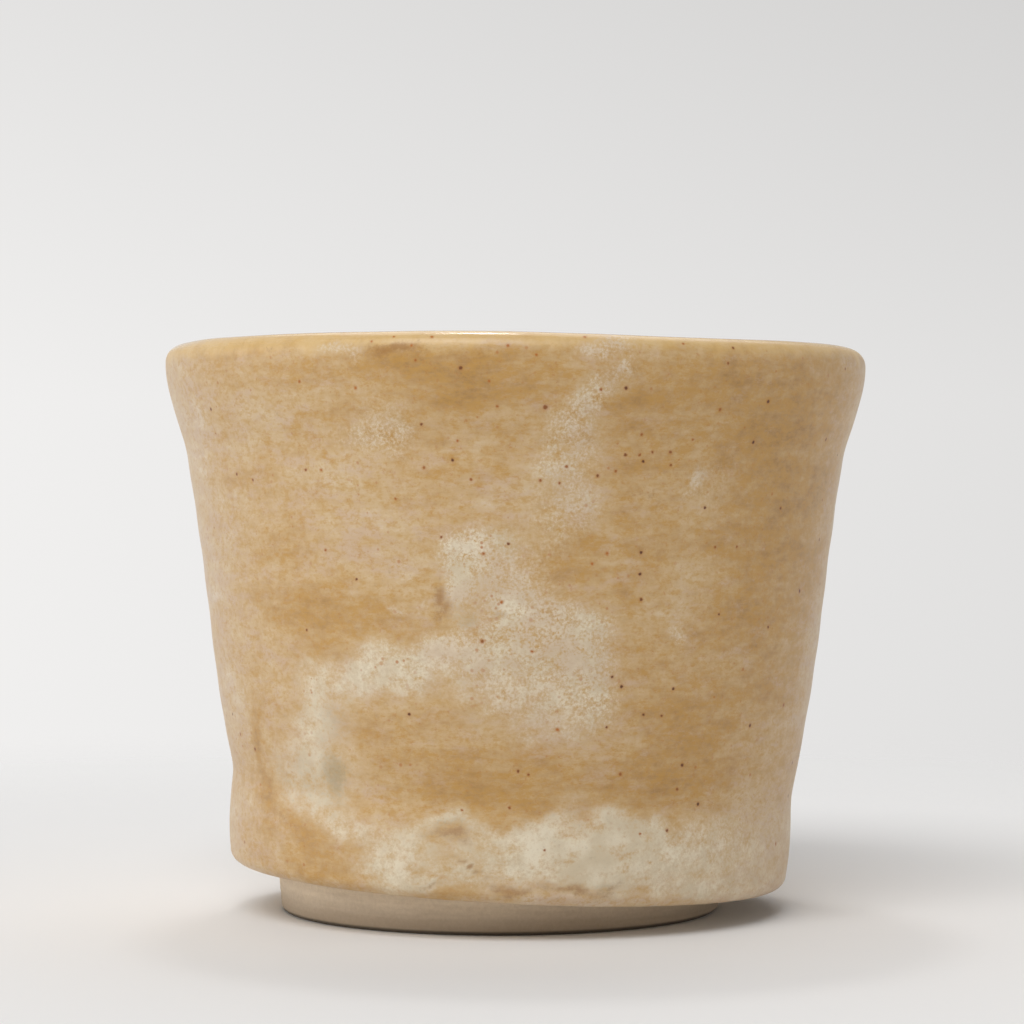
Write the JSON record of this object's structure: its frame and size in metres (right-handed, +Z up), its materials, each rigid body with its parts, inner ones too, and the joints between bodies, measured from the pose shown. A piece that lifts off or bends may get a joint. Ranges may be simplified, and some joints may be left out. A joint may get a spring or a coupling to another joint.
{
  "type": "tea cup",
  "caption": "Handleless stoneware tea cup with a flared wall, rounded lip, waist and low hip, glazed in mottled ochre and cream, on a bare clay foot ring.",
  "frame": {"origin": "on the axis of the upright wall, at the table that the foot ring stands on", "axes": "+Z up along the axis on which the cup was thrown; -Y is the side seen in the picture; +X is the side where the underside is lowest"},
  "size_m": [0.084, 0.084, 0.0675],
  "materials": {
    "clay": "bare fired stoneware, matt, fine sandy grain",
    "ochre_glaze": "satin ochre glaze with iron specks, glossier on the lip",
    "liner_glaze": "satin honey-coloured glaze",
    "white_glaze": "satin cream-white glaze, broken by ochre specks"
  },
  "bodies": {
    "root": {"clay_body": "clay", "foot_ring": "clay", "outer_glaze": "ochre_glaze", "liner_glaze": "liner_glaze", "white_dabs": "white_glaze"}
  },
  "joints": []
}
